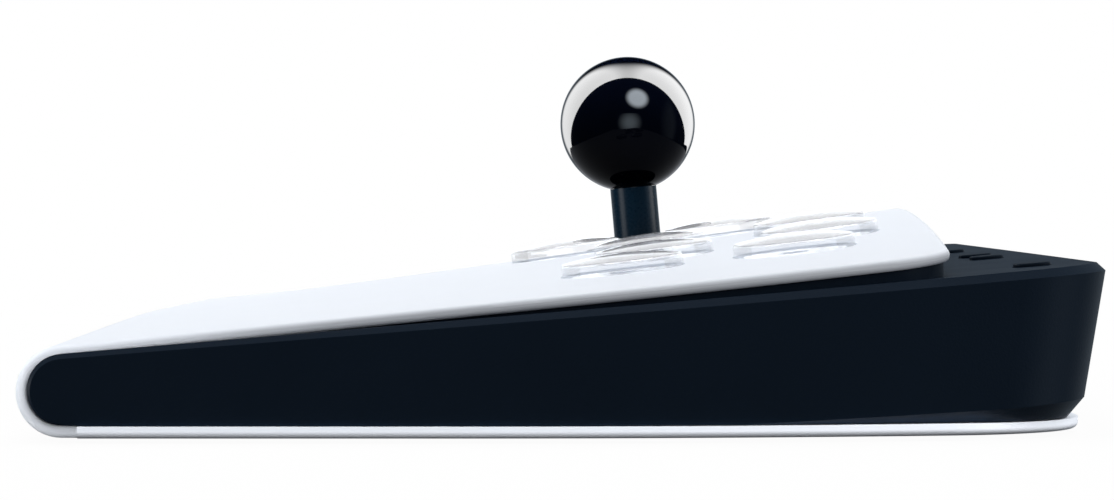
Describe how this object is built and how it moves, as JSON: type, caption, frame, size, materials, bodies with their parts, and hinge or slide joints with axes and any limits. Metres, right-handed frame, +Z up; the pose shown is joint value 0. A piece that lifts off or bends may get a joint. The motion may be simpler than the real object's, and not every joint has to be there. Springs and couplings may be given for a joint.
{
  "type": "arcade stick",
  "caption": "Low wedge-shaped arcade stick: a white sheet wraps the front and crowns over a black shell, with a ball-top lever on the left and clear round buttons on the right.",
  "frame": {"origin": "on the table under the middle of the whole stick", "axes": "+X to the player's right, +Y away from the player, +Z up"},
  "size_m": [0.379, 0.221, 0.0851],
  "materials": {
    "sheet_white": "fine satin",
    "base_white": "fine satin",
    "shell_black": "fine satin",
    "cap_clear": "clear polished",
    "housing_white": "satin",
    "switch_dark": "satin",
    "function_dark": "satin",
    "ball_black": "polished",
    "sleeve_black": "satin",
    "screw_steel": "plated",
    "plate_steel": "plated",
    "inner_grey": "satin",
    "board_green": "lacquered",
    "foot_rubber": "matt",
    "battery_wrap": "film"
  },
  "bodies": {
    "case": {"base_plate": "base_white", "base_screws": "screw_steel", "battery_pack": "battery_wrap", "board_screws": "screw_steel", "button_housing_1": "housing_white", "button_housing_2": "housing_white", "button_housing_3": "housing_white", "button_housing_4": "housing_white", "button_housing_5": "housing_white", "button_housing_6": "housing_white", "button_housing_7": "housing_white", "button_housing_8": "housing_white", "button_switch_1": "switch_dark", "button_switch_2": "switch_dark", "button_switch_3": "switch_dark", "button_switch_4": "switch_dark", "button_switch_5": "switch_dark", "button_switch_6": "switch_dark", "button_switch_7": "switch_dark", "button_switch_8": "switch_dark", "function_board": "board_green", "lever_bezel": "sleeve_black", "lever_board": "board_green", "lever_housing": "inner_grey", "lever_mount_plate": "plate_steel", "lever_screws": "screw_steel", "lever_standoffs": "plate_steel", "lever_switch_1": "switch_dark", "lever_switch_2": "switch_dark", "lever_switch_3": "switch_dark", "lever_switch_4": "switch_dark", "main_board": "board_green", "main_shell": "shell_black", "restrictor_gate": "inner_grey", "rubber_feet": "foot_rubber", "top_sheet": "sheet_white", "usb_socket": "plate_steel"},
    "gimbal": {"gimbal_ring": "inner_grey"},
    "lever": {"ball_knob": "ball_black", "shaft_sleeve": "sleeve_black", "lever_shaft": "screw_steel", "pivot_hub": "inner_grey", "return_spring": "screw_steel", "actuator": "switch_dark", "retaining_clip": "screw_steel"},
    "button_1": {"button_cap_1": "cap_clear"},
    "button_2": {"button_cap_2": "cap_clear"},
    "button_3": {"button_cap_3": "cap_clear"},
    "button_4": {"button_cap_4": "cap_clear"},
    "button_5": {"button_cap_5": "cap_clear"},
    "button_6": {"button_cap_6": "cap_clear"},
    "button_7": {"button_cap_7": "cap_clear"},
    "button_8": {"button_cap_8": "cap_clear"},
    "function_1": {"function_button_1": "function_dark"},
    "function_2": {"function_button_2": "function_dark"},
    "function_3": {"function_button_3": "function_dark"},
    "function_4": {"function_button_4": "function_dark"}
  },
  "joints": [
    {"name": "lever_fore_aft", "type": "hinge", "parent": "case", "child": "gimbal", "pos_m": [-0.073, 0.01921, 0.02463], "axis": [1, 0, 0], "range_deg": [-8, 8], "stiffness_Nm_per_rad": 0.4},
    {"name": "lever_left_right", "type": "hinge", "parent": "gimbal", "child": "lever", "pos_m": [-0.073, 0.01921, 0.02463], "axis": [0, 0.9961, 0.0884], "range_deg": [-8, 8], "stiffness_Nm_per_rad": 0.4},
    {"name": "press_1", "type": "slide", "parent": "case", "child": "button_1", "axis": [-0.0106, 0.1372, -0.9905], "range_m": [0, 0.002], "stiffness_N_per_m": 250, "springref_m": -0.001},
    {"name": "press_2", "type": "slide", "parent": "case", "child": "button_2", "axis": [-0.0312, 0.1318, -0.9908], "range_m": [0, 0.002], "stiffness_N_per_m": 250, "springref_m": -0.001},
    {"name": "press_3", "type": "slide", "parent": "case", "child": "button_3", "axis": [-0.0361, 0.124, -0.9916], "range_m": [0, 0.002], "stiffness_N_per_m": 250, "springref_m": -0.001},
    {"name": "press_4", "type": "slide", "parent": "case", "child": "button_4", "axis": [-0.036, 0.1155, -0.9927], "range_m": [0, 0.002], "stiffness_N_per_m": 250, "springref_m": -0.001},
    {"name": "press_5", "type": "slide", "parent": "case", "child": "button_5", "axis": [-0.0134, 0.1372, -0.9905], "range_m": [0, 0.002], "stiffness_N_per_m": 250, "springref_m": -0.001},
    {"name": "press_6", "type": "slide", "parent": "case", "child": "button_6", "axis": [-0.0385, 0.1317, -0.9905], "range_m": [0, 0.002], "stiffness_N_per_m": 250, "springref_m": -0.001},
    {"name": "press_7", "type": "slide", "parent": "case", "child": "button_7", "axis": [-0.0446, 0.1239, -0.9913], "range_m": [0, 0.002], "stiffness_N_per_m": 250, "springref_m": -0.001},
    {"name": "press_8", "type": "slide", "parent": "case", "child": "button_8", "axis": [-0.0449, 0.1155, -0.9923], "range_m": [0, 0.002], "stiffness_N_per_m": 250, "springref_m": -0.001},
    {"name": "function_press_1", "type": "slide", "parent": "case", "child": "function_1", "axis": [0, 0.084, -0.9965], "range_m": [0, 0.0005], "stiffness_N_per_m": 1200, "springref_m": -0.0003},
    {"name": "function_press_2", "type": "slide", "parent": "case", "child": "function_2", "axis": [0, 0.084, -0.9965], "range_m": [0, 0.0005], "stiffness_N_per_m": 1200, "springref_m": -0.0003},
    {"name": "function_press_3", "type": "slide", "parent": "case", "child": "function_3", "axis": [0, 0.084, -0.9965], "range_m": [0, 0.0005], "stiffness_N_per_m": 1200, "springref_m": -0.0003},
    {"name": "function_press_4", "type": "slide", "parent": "case", "child": "function_4", "axis": [0, 0.084, -0.9965], "range_m": [0, 0.0005], "stiffness_N_per_m": 1200, "springref_m": -0.0003}
  ]
}
